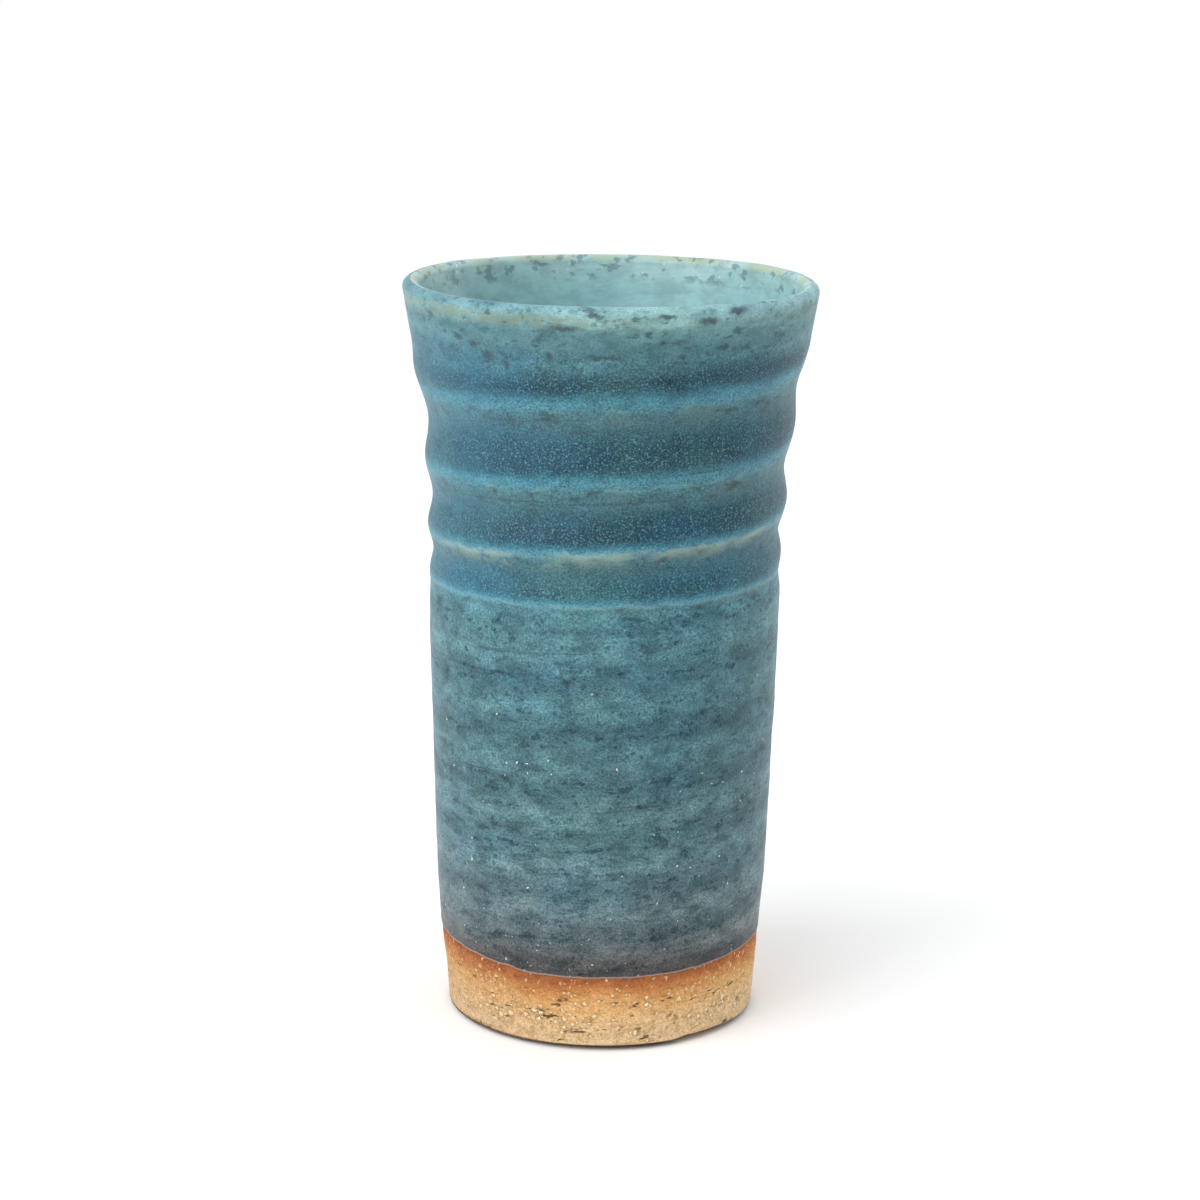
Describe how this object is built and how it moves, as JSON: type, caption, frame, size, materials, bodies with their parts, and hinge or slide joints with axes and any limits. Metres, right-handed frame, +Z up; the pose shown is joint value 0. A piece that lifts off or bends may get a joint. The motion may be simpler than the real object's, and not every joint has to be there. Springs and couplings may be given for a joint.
{
  "type": "sake cup",
  "caption": "Tall wheel-thrown stoneware drinking cup with a flared lip, spiral throwing ridges, matte glaze outside and inside, and a bare clay foot.",
  "frame": {"origin": "on the table, under the centre of the foot ring", "axes": "+Z up along the axis that the cup was thrown on; -Y towards the pictured side, +X to its right"},
  "size_m": [0.0662, 0.0662, 0.12],
  "materials": {
    "stoneware": "bare fired clay, sandy and matte, flashed orange below the glaze",
    "coat_glaze": "mottled blue-green matte glaze with pale crystal specks",
    "lining_glaze": "pale turquoise satin glaze"
  },
  "bodies": {
    "root": {"clay_body": "stoneware", "glaze_coat": "coat_glaze", "glaze_lining": "lining_glaze"}
  },
  "joints": []
}
